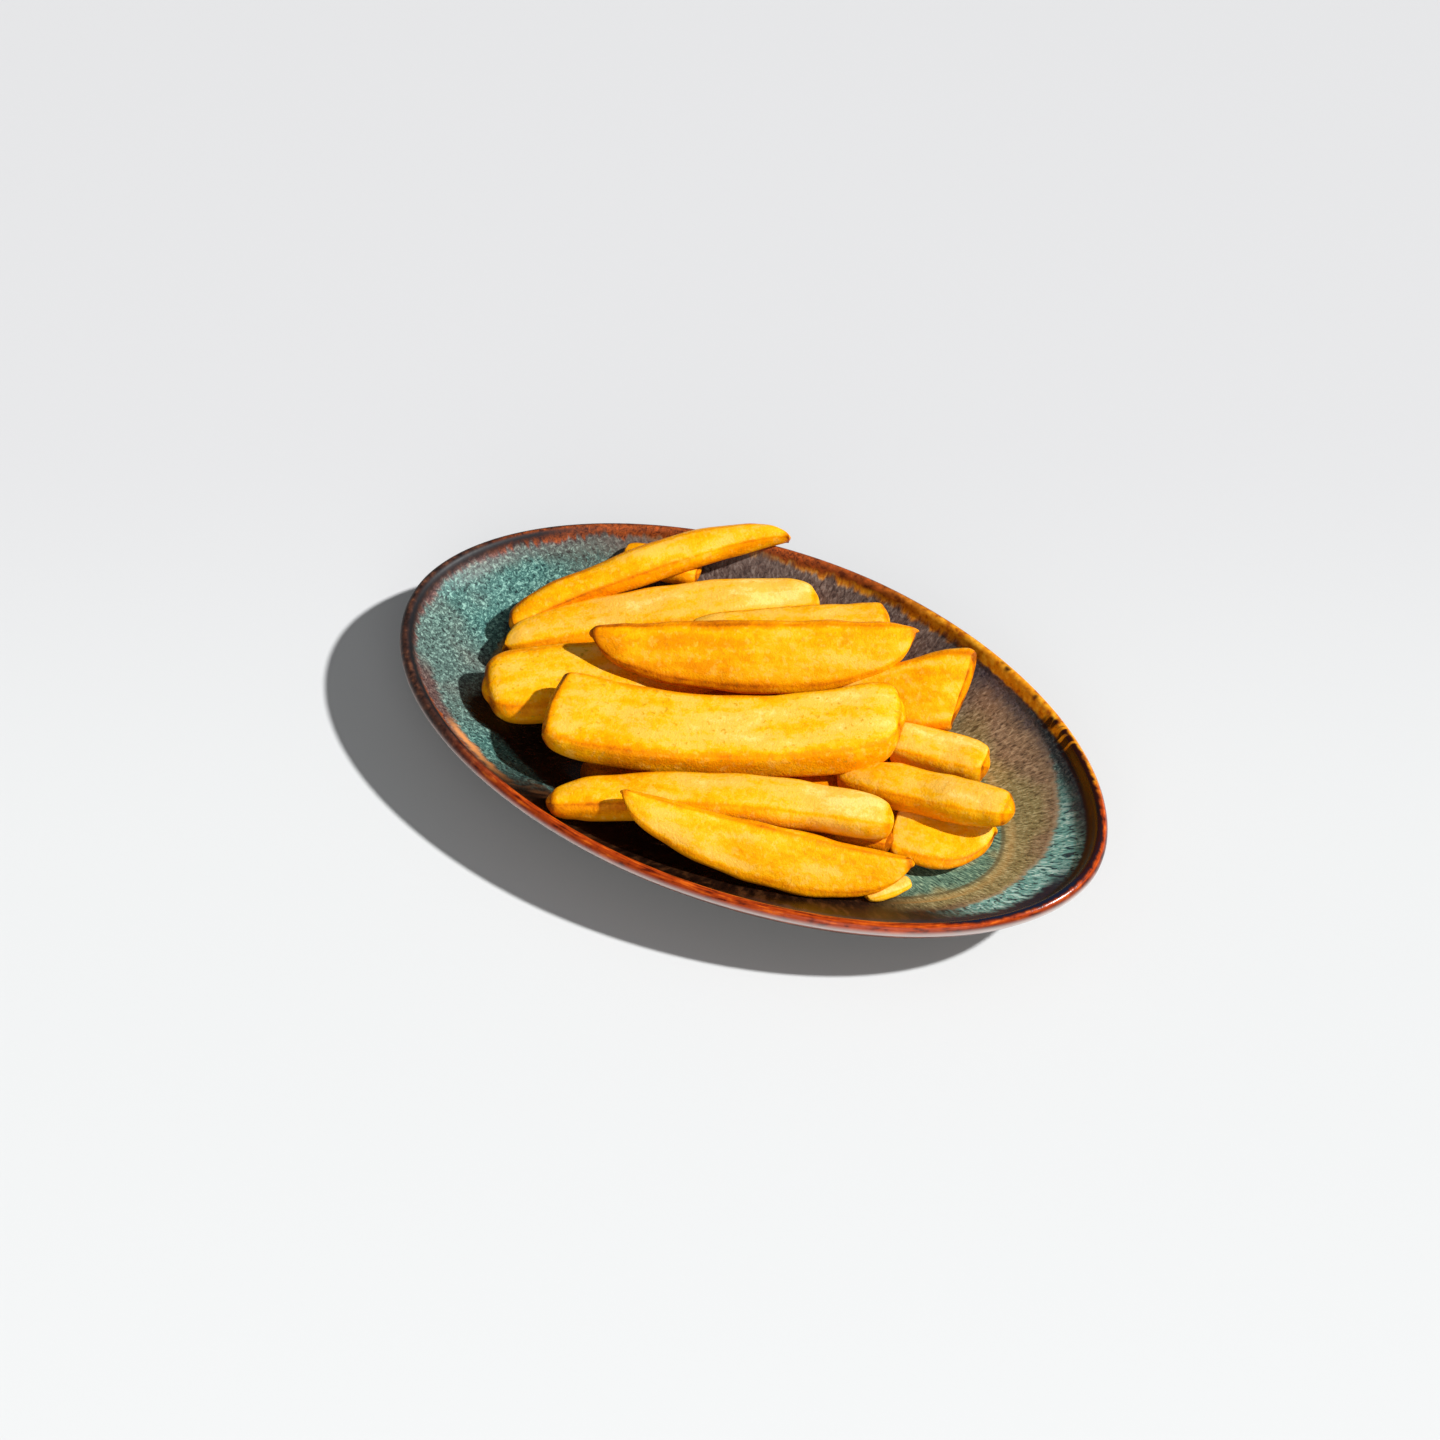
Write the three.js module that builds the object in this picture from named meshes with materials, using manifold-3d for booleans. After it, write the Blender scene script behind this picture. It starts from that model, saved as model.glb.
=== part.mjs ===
// A portion of thick-cut french fries on a long oval stoneware plate.
//
// Units are millimetres, +Z is up. The origin lies on the table under the middle of the plate,
// and X runs along the plate's length. The plate is one turned shape whose circle is laid out
// on an oval plan. The fries are one fused heap: a low core, and every fry that shows on top of it.

import * as THREE from "three";
import { mergeVertices } from "three/addons/utils/BufferGeometryUtils.js";
import Module from "manifold-3d";

const wasm = await Module();
wasm.setup();

// ---------------------------------------------------------------- driving dimensions

const PLATE_LENGTH = 251;
const PLATE_WIDTH = 151.6;
const PLATE_HEIGHT = 28;
const WELL_EDGE_HEIGHT = 10.7; // the soft edge where the sloping wall meets the well
const WELL_HEIGHT = 9.2; // the well's flat floor
const WALL_RUN_LENGTHWAYS = 32; // the wall's breadth from rim to well, at the two ends
const WALL_RUN_SIDEWAYS = 26; // the same at the two long sides
const WALL_THICKNESS = 6.2;
const LIP_DROP = 2.6; // the rolled lip's widest line lies this far below its top
const FOOT_RECESS = 2.6; // the underside inside the foot ring stands this far off the table

// The plan is a little off a true oval, as a hand-made plate is.
const PLAN_POWER = 1.93; // 2 is a plain ellipse, less is more pointed
const PLAN_NARROWING = 0.023; // the +X end is this share slimmer, the -X end as much wider
const PLAN_BEND = 2.7; // both ends bend this far towards -Y

// Shares of the way from the plate's middle, 0, to its outer edge, 1.
const WELL_SHARE = 0.7;
const FOOT_SHARE = 0.63;
const FOOT_BREADTH = 0.06;

const AROUND = 72; // steps round the plate
const CORE_AROUND = 24;
const HEAP_CLEARANCE = 0.4; // kept between the fries and the glaze
const SPACE_TOP = 90; // top of the space that the heap may fill

const FRY_STEPS_ALONG = 8;
const FRY_STEPS_ACROSS = 2;

// What a fry is like where nothing else is said. All of a fry's shares are of its full section.
const PLAIN_FRY = {
  width: 15,
  thick: 11,
  ends: [1, 1], // share of the width towards each end, for a wedge that widens along its length
  tips: [0.7, 0.7], // share of the width that is left at the very tips
  thin: [0.8, 0.8], // share of the thickness that is left at the very tips
  fullness: 5, // 2 tapers all the way like a canoe, 8 stays full and ends bluntly
  lean: 0, // 1 or -1 puts the whole belly on the right or left of the line between the tips
  keel: 0, // 1 hangs the whole thickness below that line
  bow: 0, // sideways bend at the middle
  arch: 0, // upward bend at the middle
  roll: 0, // degrees about the fry's length, right side down
  slant: [0, 0], // how far each end's cut runs off square
};
const FRY_SQUARENESS = 4; // power of the section's rounded square
const TIP_DOME = 0.15; // bulge of an end face, as a share of the thickness
const TIP_DOME_REACH = 12; // how close to the tip that bulge starts, as a power

// The fries that show, from the front of the plate to its back. from and to are a fry's tips.
const SHOWN_FRIES = {
  front_wedge: {
    from: [-9.5, -58.5, 38.7], to: [74, -21, 20.7], width: 20, thick: 11, ends: [0.8, 1.08],
    tips: [0.03, 0.06], thin: [0.3, 0.3], fullness: 2.2, lean: -0.95, keel: 0.6, roll: 36,
  },
  front_curved: {
    from: [-31, -66.5, 27], to: [62.5, -14, 25], width: 17, tips: [0.4, 0.55],
    thin: [0.5, 0.8], fullness: 4, bow: -6,
  },
  front_sliver: { from: [34.5, -24, 16], to: [62.5, -15, 16.5], width: 10, thick: 8 },
  front_scrap: {
    from: [65, -35.5, 12.5], to: [73.5, -22, 12.5], width: 7, thick: 3,
    tips: [0.3, 0.4], thin: [0.5, 0.5], fullness: 3,
  },
  right_slab: {
    from: [55.5, -1, 14.7], to: [86.5, 10.5, 14.7], width: 21, thick: 10, ends: [1.1, 0.9],
    tips: [0.7, 0.1], thin: [0.8, 0.6], fullness: 2.3, lean: -1,
  },
  right_long: {
    from: [32.5, -1, 18], to: [91.5, 8.5, 26], width: 15, thick: 12,
    tips: [0.15, 0.55], thin: [0.3, 0.7], fullness: 4,
  },
  right_stub: {
    from: [39, 22.5, 16.5], to: [72, 30, 16.5], width: 16, tips: [0.7, 0.4], fullness: 4,
  },
  right_fan: {
    from: [16.5, 27.5, 20], to: [52.5, 49.5, 25], width: 31, ends: [0.4, 1],
    tips: [0.8, 0.7], fullness: 4, roll: 35, slant: [0, -4.5],
  },
  centre_slab: {
    from: [-49, -39, 29.5], to: [45, 22.5, 29.5], width: 25, thick: 13, ends: [1.12, 1],
    tips: [0.45, 0.4], fullness: 8, roll: 9, bow: 6.5, slant: [-3, 0],
  },
  centre_low: { from: [-42.5, -45, 16.7], to: [24.5, -8.5, 15.7], width: 16 },
  top_wedge: {
    from: [-57.5, -5.5, 37], to: [32.5, 51.5, 39], width: 23, thick: 12, ends: [0.8, 1.1],
    tips: [0.03, 0.06], thin: [0.3, 0.3], fullness: 2.2, lean: -0.85, keel: 0.4, roll: 36,
  },
  left_slab: {
    from: [-80.5, -34, 23], to: [-14.5, 30, 17], width: 25, thick: 12, ends: [1.12, 0.95],
    tips: [0.4, 0.6], fullness: 8, roll: 10,
  },
  back_short: { from: [-34.5, 18, 28], to: [16.5, 59.5, 27.5], width: 16, thick: 10 },
  back_long: {
    from: [-88, -13.5, 18], to: [-8.5, 58.5, 23], width: 20.5,
    tips: [0.1, 0.4], fullness: 2.6, lean: 0.4,
  },
  back_stub: { from: [-78, 43, 23.5], to: [-51.5, 51.5, 23], width: 13, thick: 6, fullness: 6 },
  rim_wedge: {
    from: [-90, -3, 20.5], to: [-29.5, 74, 33], width: 13, thick: 9, ends: [0.9, 1.05],
    tips: [0.3, 0.1], fullness: 2.4, lean: 0.8, arch: 2,
  },
};

// Fries on the well's floor that carry the ones above and show only in the gaps.
const CARRYING_FRIES = {
  under_centre: { from: [-10, -6, 16.7], to: [34, 17, 16.7], thick: 13 },
  under_back: { from: [-4, 42, 16.2], to: [20, 52, 20.2], width: 14 },
};

// The core is a low mound in the middle of the well, with its top under the fries.
const CORE_LENGTH = 112;
const CORE_WIDTH = 62;
const CORE_TOP = 20.5;

// ---------------------------------------------------------------- the plate's form

// Semi-axes of the plan at a share of the way out. The well keeps one oval's shape, and the
// wall adds its two breadths to it.
function semiAxes(share) {
  const wellX = PLATE_LENGTH / 2 - WALL_RUN_LENGTHWAYS;
  const wellY = PLATE_WIDTH / 2 - WALL_RUN_SIDEWAYS;
  const inWell = Math.min(share / WELL_SHARE, 1);
  const upWall = Math.max((share - WELL_SHARE) / (1 - WELL_SHARE), 0);
  return [wellX * inWell + WALL_RUN_LENGTHWAYS * upWall, wellY * inWell + WALL_RUN_SIDEWAYS * upWall];
}

function towardsPower(value, power) {
  return Math.sign(value) * Math.abs(value) ** power;
}

function planPoint(share, angle) {
  const [a, b] = semiAxes(share);
  const x = a * towardsPower(Math.cos(angle), 2 / PLAN_POWER);
  const along = x / (PLATE_LENGTH / 2);
  const y = b * towardsPower(Math.sin(angle), 2 / PLAN_POWER) * (1 - PLAN_NARROWING * along);
  return [x, y - PLAN_BEND * along ** 2];
}

// A turned shape, laid out on the oval plan. Profile points are [share, height], from the axis
// under the shape, round its outside, and back to the axis on top.
function turnedOnPlan(profile, around) {
  const turned = new THREE.LatheGeometry(
    profile.map(([share, height]) => new THREE.Vector2(share, height)),
    around,
  );
  turned.rotateX(Math.PI / 2);
  const merged = bare(turned);
  const at = merged.attributes.position;
  for (let i = 0; i < at.count; i++) {
    const share = Math.hypot(at.getX(i), at.getY(i));
    const [x, y] = planPoint(share, Math.atan2(at.getY(i), at.getX(i)));
    at.setXYZ(i, x, y, at.getZ(i));
  }
  return merged;
}

// Height of the glazed inside at a share of the way out, below the lip.
function insideHeight(share) {
  if (share <= WELL_SHARE) {
    const nearEdge = Math.max((share / WELL_SHARE - 0.9) / 0.1, 0);
    return WELL_HEIGHT + (WELL_EDGE_HEIGHT - WELL_HEIGHT) * nearEdge ** 1.5;
  }
  const upWall = (share - WELL_SHARE) / (1 - WELL_SHARE);
  return WELL_EDGE_HEIGHT + (PLATE_HEIGHT - WELL_EDGE_HEIGHT) * upWall ** 1.25;
}

function insideProfile(lift) {
  const shares = [0.94, 0.9, 0.85, 0.8, 0.75, 0.715, 0.7, 0.685, 0.66, 0.63, 0.4];
  return shares.map((share) => [share, insideHeight(share) + lift]);
}

// The rolled lip, from the wall's outside, over the top, to the wall's inside.
const LIP = [
  [0.985, PLATE_HEIGHT - 2 * LIP_DROP + 0.4],
  [0.996, PLATE_HEIGHT - LIP_DROP - 1.2],
  [1, PLATE_HEIGHT - LIP_DROP],
  [0.996, PLATE_HEIGHT - 1.1],
  [0.987, PLATE_HEIGHT - 0.25],
  [0.976, PLATE_HEIGHT],
  [0.965, PLATE_HEIGHT - 0.5],
  [0.955, PLATE_HEIGHT - 1.7],
];

function plateProfile() {
  const footOuter = FOOT_SHARE + FOOT_BREADTH / 2;
  const footInner = FOOT_SHARE - FOOT_BREADTH / 2;
  const outside = [0.72, 0.78, 0.84, 0.9, 0.95].map((share) => [
    share,
    insideHeight(share) - WALL_THICKNESS,
  ]);
  return [
    [0, FOOT_RECESS],
    [footInner - 0.015, FOOT_RECESS],
    [footInner, 0.5],
    [footInner + 0.01, 0],
    [footOuter - 0.01, 0],
    [footOuter, 0.7],
    [footOuter + 0.01, 3.4],
    ...outside,
    ...LIP,
    ...insideProfile(0),
    [0, WELL_HEIGHT],
  ];
}

// The space over the plate that the fries may fill, a little clear of the glaze.
function spaceProfile() {
  const overLip = PLATE_HEIGHT + HEAP_CLEARANCE;
  return [
    [0, WELL_HEIGHT + HEAP_CLEARANCE],
    ...insideProfile(HEAP_CLEARANCE).reverse(),
    [0.955, overLip],
    [1, overLip],
    [1, SPACE_TOP],
    [0, SPACE_TOP],
  ];
}

// ---------------------------------------------------------------- one fry

// A box of -1 to 1 along X (length), Y (left to right) and Z (underside to top) becomes a fry.
function fryGeometry(fry) {
  const geometry = bare(
    new THREE.BoxGeometry(2, 2, 2, FRY_STEPS_ALONG, FRY_STEPS_ACROSS, FRY_STEPS_ACROSS),
  );
  const from = new THREE.Vector3(...fry.from);
  const to = new THREE.Vector3(...fry.to);
  const middle = from.clone().lerp(to, 0.5);
  const half = from.distanceTo(to) / 2;
  const ahead = to.clone().sub(from).normalize();
  const right = ahead.clone().cross(new THREE.Vector3(0, 0, 1)).normalize();
  const up = right.clone().cross(ahead);
  const at = geometry.attributes.position;
  for (let i = 0; i < at.count; i++) {
    const [along, across, high] = fryPoint(fry, at.getX(i), -at.getY(i), at.getZ(i), half);
    const point = middle
      .clone()
      .addScaledVector(ahead, along)
      .addScaledVector(right, across)
      .addScaledVector(up, high);
    at.setXYZ(i, point.x, point.y, point.z);
  }
  return geometry;
}

// Where one point of the box goes: along the fry, to its right, and up, from its middle.
function fryPoint(fry, alongBox, rightBox, upBox, half) {
  const s = Math.sin((Math.PI / 2) * alongBox); // steps closer together at the tips
  const bySide = ([first, last]) => first + ((last - first) * (s + 1)) / 2;
  const square = (Math.abs(rightBox) ** FRY_SQUARENESS + Math.abs(upBox) ** FRY_SQUARENESS) **
    (1 / FRY_SQUARENESS) || 1;
  const reach = Math.max(Math.abs(rightBox), Math.abs(upBox)) / square;
  const p = rightBox * reach;
  const q = upBox * reach;
  const full = Math.max(0, 1 - Math.abs(s) ** fry.fullness) ** 0.6;
  const tip = bySide(fry.tips);
  const thin = bySide(fry.thin);
  const width = (fry.width / 2) * (tip + (1 - tip) * full) * bySide(fry.ends);
  const thick = (fry.thick / 2) * (thin + (1 - thin) * full);
  const middleness = 1 - s * s;
  const dome = TIP_DOME * (fry.thick / 2) * Math.abs(s) ** TIP_DOME_REACH * (p * p + q * q);
  const along = s * half + p * bySide(fry.slant) - Math.sign(s) * dome;
  const y = width * (p - fry.lean) + fry.bow * middleness;
  const z = thick * (q - fry.keel);
  const roll = THREE.MathUtils.degToRad(fry.roll);
  return [
    along,
    y * Math.cos(roll) + z * Math.sin(roll),
    z * Math.cos(roll) - y * Math.sin(roll) + fry.arch * middleness,
  ];
}

// ---------------------------------------------------------------- solids

// A geometry with nothing but merged positions, as a closed solid needs.
function bare(geometry) {
  geometry.deleteAttribute("normal");
  geometry.deleteAttribute("uv");
  return mergeVertices(geometry, 1e-4);
}

function solidOf(geometry) {
  return new wasm.Manifold(
    new wasm.Mesh({
      numProp: 3,
      vertProperties: new Float32Array(geometry.attributes.position.array),
      triVerts: new Uint32Array(geometry.index.array),
    }),
  );
}

function geometryOf(solid) {
  const mesh = solid.getMesh();
  const geometry = new THREE.BufferGeometry();
  geometry.setAttribute("position", new THREE.BufferAttribute(mesh.vertProperties, 3));
  geometry.setIndex(new THREE.BufferAttribute(mesh.triVerts, 1));
  geometry.computeVertexNormals();
  return geometry;
}

// The mound is half a squashed ball whose flat side lies on the well.
function coreSolid() {
  const ball = new THREE.SphereGeometry(1, CORE_AROUND, CORE_AROUND / 2);
  ball.rotateX(Math.PI / 2);
  ball.scale(CORE_LENGTH / 2, CORE_WIDTH / 2, CORE_TOP - WELL_HEIGHT);
  ball.translate(0, 0, WELL_HEIGHT);
  return solidOf(bare(ball));
}

function heapSolid() {
  let heap = coreSolid();
  for (const fry of [...Object.values(CARRYING_FRIES), ...Object.values(SHOWN_FRIES)]) {
    heap = heap.add(solidOf(fryGeometry({ ...PLAIN_FRY, ...fry })));
  }
  return heap.intersect(solidOf(turnedOnPlan(spaceProfile(), AROUND)));
}

// ---------------------------------------------------------------- the portion

const glaze = new THREE.MeshStandardMaterial({ color: 0x4f7a70, roughness: 0.25, metalness: 0 });
const friedPotato = new THREE.MeshStandardMaterial({ color: 0xe8ac30, roughness: 0.55, metalness: 0 });

const plate = new THREE.Mesh(turnedOnPlan(plateProfile(), AROUND), glaze);
plate.name = "plate";
plate.geometry.computeVertexNormals();

const fries = new THREE.Mesh(geometryOf(heapSolid()), friedPotato);
fries.name = "fries";

const portion = new THREE.Group();
portion.add(plate, fries);

export default portion;
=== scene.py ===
# %% [markdown]
# # A portion of thick fries on a stoneware plate
#
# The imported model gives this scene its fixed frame: two solids, the plate and the heap of fries,
# at their real size. Both get a finer piece here. The plate is turned again with more steps and
# gets its glaze, and the heap is built fry by fry over a low core.

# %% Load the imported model
import math

import bmesh
import bpy
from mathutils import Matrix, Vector, noise


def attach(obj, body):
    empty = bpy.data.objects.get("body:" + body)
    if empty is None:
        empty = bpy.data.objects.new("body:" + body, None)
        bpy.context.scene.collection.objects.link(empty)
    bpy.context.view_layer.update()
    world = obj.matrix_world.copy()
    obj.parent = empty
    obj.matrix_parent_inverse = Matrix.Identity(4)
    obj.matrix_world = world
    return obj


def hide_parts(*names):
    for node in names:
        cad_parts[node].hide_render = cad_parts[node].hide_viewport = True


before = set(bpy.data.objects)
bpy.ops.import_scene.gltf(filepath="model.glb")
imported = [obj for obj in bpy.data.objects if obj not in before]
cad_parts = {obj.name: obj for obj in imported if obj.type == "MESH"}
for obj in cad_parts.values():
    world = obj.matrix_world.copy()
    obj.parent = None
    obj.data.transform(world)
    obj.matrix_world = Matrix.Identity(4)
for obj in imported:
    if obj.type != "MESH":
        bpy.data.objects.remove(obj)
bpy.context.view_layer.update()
MM = 0.001

# %% [markdown]
# ## Camera and light
#
# A dish on a table is looked down on from one side at 45 degrees, through a long lens so that
# the oval stays an oval. The main light is one small, strong lamp from the right, which draws a
# clear shadow. A large soft lamp on the viewer's side and a dim sky keep that shadow grey. A sun
# lamp was chosen over an area lamp for the main light because it lights the whole table evenly,
# as a studio lamp far away does.

# %% Helpers for what stands round the plate
def add_to_scene(name, data):
    made = bpy.data.objects.new(name, data)
    bpy.context.scene.collection.objects.link(made)
    return made


def direction(around, height):
    """The way to a place round from the plate's broad side and up from the table, as angles."""
    return Vector((
        math.sin(around) * math.cos(height),
        -math.cos(around) * math.cos(height),
        math.sin(height),
    ))


def look_back(made, way):
    """A camera or a lamp looks against its own Z axis, so that axis is laid along the way to it."""
    made.rotation_euler = way.to_track_quat("Z", "Y").to_euler()


# %% Camera
VIEW_AROUND = math.radians(32.8)
VIEW_HEIGHT = math.radians(45)
VIEW_DISTANCE = 1100 * MM
AIM = Vector((-5.7, -8.2, 28)) * MM
FRAME_PIXELS = 1440
PIXELS_PER_RADIAN = 3465

to_viewer = direction(VIEW_AROUND, VIEW_HEIGHT)
camera = add_to_scene("camera", bpy.data.cameras.new("camera"))
bpy.context.scene.camera = camera
camera.location = AIM + to_viewer * VIEW_DISTANCE
look_back(camera, to_viewer)
camera.data.lens = camera.data.sensor_width * PIXELS_PER_RADIAN / FRAME_PIXELS
print("lens", round(camera.data.lens, 1), "mm")

# %% Lights, with distances in metres and power in watts
TO_SUN = Vector((0.674, 0.258, 0.692))
SUN_STRENGTH = 5.2
SUN_WIDTH = math.radians(2.5)
FILL_HEIGHT = math.radians(24)
FILL_DISTANCE = 1.6
FILL_SIDE = 1.2
FILL_POWER = 10
SKY_COLOUR = (0.93, 0.97, 1.0, 1)
SKY_STRENGTH = 0.14

sun = add_to_scene("sun", bpy.data.lights.new("sun", "SUN"))
look_back(sun, TO_SUN)
sun.data.energy = SUN_STRENGTH
sun.data.angle = SUN_WIDTH

to_fill = direction(VIEW_AROUND, FILL_HEIGHT)
fill = add_to_scene("fill", bpy.data.lights.new("fill", "AREA"))
fill.location = AIM + to_fill * FILL_DISTANCE
look_back(fill, to_fill)
fill.data.size = FILL_SIDE
fill.data.energy = FILL_POWER

world = bpy.data.worlds.new("sky")
bpy.context.scene.world = world
world.use_nodes = True
sky = world.node_tree.nodes["Background"]
sky.inputs["Color"].default_value = SKY_COLOUR
sky.inputs["Strength"].default_value = SKY_STRENGTH
bpy.context.scene.view_settings.view_transform = "Standard"
print("sun", SUN_STRENGTH, "fill", FILL_POWER, "sky", SKY_STRENGTH)

# %% [markdown]
# ## Writing a finish as arithmetic
#
# A glaze or a crust is many small decisions: where a colour starts, how far it reaches, how
# ragged its edge is. Each decision is a number between 0 and 1 that varies over the surface.
# Wiring those by hand in the node editor gets long, so a small class wraps one node output and
# lets Python's own operators add the Math nodes.

# %% One output of a node
class Wire:
    """A value that varies over a surface. Arithmetic on it adds Math nodes."""

    def __init__(self, finish, socket):
        self.finish = finish
        self.socket = socket

    def __add__(self, other):
        return self.finish.math("ADD", self, other)

    def __radd__(self, other):
        return self.finish.math("ADD", other, self)

    def __sub__(self, other):
        return self.finish.math("SUBTRACT", self, other)

    def __rsub__(self, other):
        return self.finish.math("SUBTRACT", other, self)

    def __mul__(self, other):
        return self.finish.math("MULTIPLY", self, other)

    def __rmul__(self, other):
        return self.finish.math("MULTIPLY", other, self)

    def __abs__(self):
        return self.finish.math("ABSOLUTE", self)

    def rise(self, low, high):
        """0 up to low, 1 from high on, and a smooth rise between."""
        settings = {"interpolation_type": "SMOOTHSTEP"}
        return self.finish.node("MapRange", settings, {0: self, 1: low, 2: high})

    def fall(self, low, high):
        """1 up to low, 0 from high on."""
        return 1 - self.rise(low, high)

    def band(self, middle, reach):
        """1 on the line where the value is middle, 0 from reach away on."""
        return abs(self - middle).fall(0, reach)


# %% A material under construction
class Finish:
    """A Principled material whose inputs are worked out with Wires."""

    def __init__(self, name, **constants):
        self.material = bpy.data.materials.new(name)
        self.material.use_nodes = True
        self.tree = self.material.node_tree
        self.shader = self.tree.nodes["Principled BSDF"]
        for socket, value in constants.items():
            self.shader.inputs[socket.replace("_", " ")].default_value = value

    def node(self, kind, settings=None, sockets=None, out=0):
        """A node of that kind, set up and plugged in, as a Wire of its output out."""
        made = self.tree.nodes.new("ShaderNode" + kind)
        for name, value in (settings or {}).items():
            setattr(made, name, value)
        for key, value in (sockets or {}).items():
            self.plug(made.inputs[key], value)
        return Wire(self, made.outputs[out])

    def plug(self, socket, value):
        """Links a Wire to an input, or sets the input to a plain value."""
        if isinstance(value, Wire):
            self.tree.links.new(value.socket, socket)
        else:
            socket.default_value = value

    def math(self, operation, *values):
        return self.node("Math", {"operation": operation}, dict(enumerate(values)))

    def mix(self, share, first, second):
        """Colour first where share is 0, second where it is 1."""
        sockets = {0: share, 6: first, 7: second}
        return self.node("Mix", {"data_type": "RGBA"}, sockets, out=2)

    def attribute(self, name, out="Fac"):
        return self.node("Attribute", {"attribute_name": name}, out=out)

    def place(self):
        """The point on the piece, in millimetres."""
        spot = self.node("TexCoord", out="Object")
        settings = {"operation": "SCALE"}
        return self.node("VectorMath", settings, {0: spot, "Scale": 1 / MM})

    def axes(self, vector):
        return [self.node("SeparateXYZ", sockets={0: vector}, out=i) for i in range(3)]

    def grain(self, where, size, detail=2.0, roughness=0.5, distortion=0.0):
        """Soft noise around 0.5, with lumps of that size in the units of where."""
        sockets = {
            "Vector": where,
            "Scale": 1 / size,
            "Detail": detail,
            "Roughness": roughness,
            "Distortion": distortion,
        }
        return self.node("TexNoise", sockets=sockets)

    def show(self, colour, roughness, height, relief):
        """Colours the surface, and raises it by up to relief millimetres where height is 1."""
        self.plug(self.shader.inputs["Base Color"], colour)
        self.plug(self.shader.inputs["Roughness"], roughness)
        bump = self.node("Bump", sockets={"Height": height, "Distance": relief * MM, "Strength": 1.0})
        self.plug(self.shader.inputs["Normal"], bump)
        return self.material


def shade(red, green, blue):
    """A colour on the usual 0 to 255 scale as the linear light that Blender works in, by the
    standard curve of screens."""
    levels = (level / 255 for level in (red, green, blue))
    return (*(l / 12.92 if l < 0.04 else ((l + 0.055) / 1.055) ** 2.4 for l in levels), 1)


print("mid grey is", round(shade(128, 128, 128)[0], 3))

# %% [markdown]
# ## The table
#
# A plain pale sheet that runs past the edges of the view. It is a stage and no part of the
# object. It darkens a little with distance, as a backdrop does away from its lamp.

# %% Floor, with its side in metres
FLOOR_SIDE = 6.0
FLOOR_ROUGHNESS = 0.9
FLOOR_NEAR = shade(207, 208, 208)
FLOOR_FAR = shade(201, 201, 202)
FLOOR_DARKENS = (-40, 180)


def paper():
    finish = Finish("backdrop_paper", Roughness=FLOOR_ROUGHNESS)
    across, away, _ = finish.axes(finish.place())
    distance = away * math.cos(VIEW_AROUND) - across * math.sin(VIEW_AROUND)
    colour = finish.mix(distance.rise(*FLOOR_DARKENS), FLOOR_NEAR, FLOOR_FAR)
    finish.plug(finish.shader.inputs["Base Color"], colour)
    return finish.material


sheet = bmesh.new()
bmesh.ops.create_grid(sheet, x_segments=1, y_segments=1, size=FLOOR_SIDE / 2)
floor = add_to_scene("floor", bpy.data.meshes.new("floor"))
sheet.to_mesh(floor.data)
sheet.free()
floor.data.materials.append(paper())
print("floor side", FLOOR_SIDE, "m")

# %% [markdown]
# ## From a bmesh to a piece
#
# Every piece of the object is finished alike: its mesh is smooth, it stays at the origin, it is
# tied to the frame, and the imported part that it stands for is hidden. A Subdivision Surface
# modifier rounds all but the hidden core.

# %% Finish a piece
def add_piece(name, shape, material, node, levels):
    mesh = bpy.data.meshes.new(name)
    for face in shape.faces:
        face.smooth = True
    shape.to_mesh(mesh)
    shape.free()
    mesh.materials.append(material)
    piece = add_to_scene(name, mesh)
    if levels:
        rounding = piece.modifiers.new("rounding", "SUBSURF")
        rounding.levels = levels
        rounding.render_levels = levels
    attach(piece, "root")
    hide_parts(node)
    print(name, "faces", len(mesh.polygons), "triangles at most", len(mesh.polygons) * 2 * 4**levels)


# %% [markdown]
# ## The plate's form
#
# The plate is a turned dish whose circle is laid out on an oval. A dish like this has five
# parts: a flat well, a soft edge round it, a wall that steepens as it rises, a rolled lip and a
# foot ring underneath. It could be lofted from ovals one by one, but turning one profile and
# then moving every point onto the oval plan keeps the wall's section the same all round, and the
# plan a single short formula.

# %% The plate's sizes, in millimetres, and shares of the way out to its rim
PLATE_LENGTH = 251
PLATE_WIDTH = 151.6
PLATE_HEIGHT = 28
WELL_HEIGHT = 9.2
WELL_EDGE_HEIGHT = 10.7
WELL_SHARE = 0.7
WELL_EDGE_BREADTH = 0.1
WELL_EDGE_CURVE = 1.5
WALL_RUN_LENGTHWAYS = 32
WALL_RUN_SIDEWAYS = 26
WALL_CURVE = 1.25
WALL_THICKNESS = 6.2
FOOT_SHARE = 0.63
FOOT_BREADTH = 0.06
FOOT_RECESS = 2.6

# %% The plate's plan
# It is an oval a little slimmer than an ellipse. It narrows to the right, and its ends bend to
# the front.
PLAN_POWER = 1.93
PLAN_NARROWING = 0.023
PLAN_BEND = 2.7


def semi_axes(share):
    """The plan's half length and half width at a share of the way out to the rim."""
    well_x = PLATE_LENGTH / 2 - WALL_RUN_LENGTHWAYS
    well_y = PLATE_WIDTH / 2 - WALL_RUN_SIDEWAYS
    in_well = min(share / WELL_SHARE, 1)
    up_wall = max((share - WELL_SHARE) / (1 - WELL_SHARE), 0)
    return (
        well_x * in_well + WALL_RUN_LENGTHWAYS * up_wall,
        well_y * in_well + WALL_RUN_SIDEWAYS * up_wall,
    )


def plan_point(share, angle):
    half_length, half_width = semi_axes(share)
    power = 2 / PLAN_POWER
    x = half_length * math.copysign(abs(math.cos(angle)) ** power, math.cos(angle))
    along = x / (PLATE_LENGTH / 2)
    y = half_width * math.copysign(abs(math.sin(angle)) ** power, math.sin(angle))
    return x, y * (1 - PLAN_NARROWING * along) - PLAN_BEND * along**2


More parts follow.
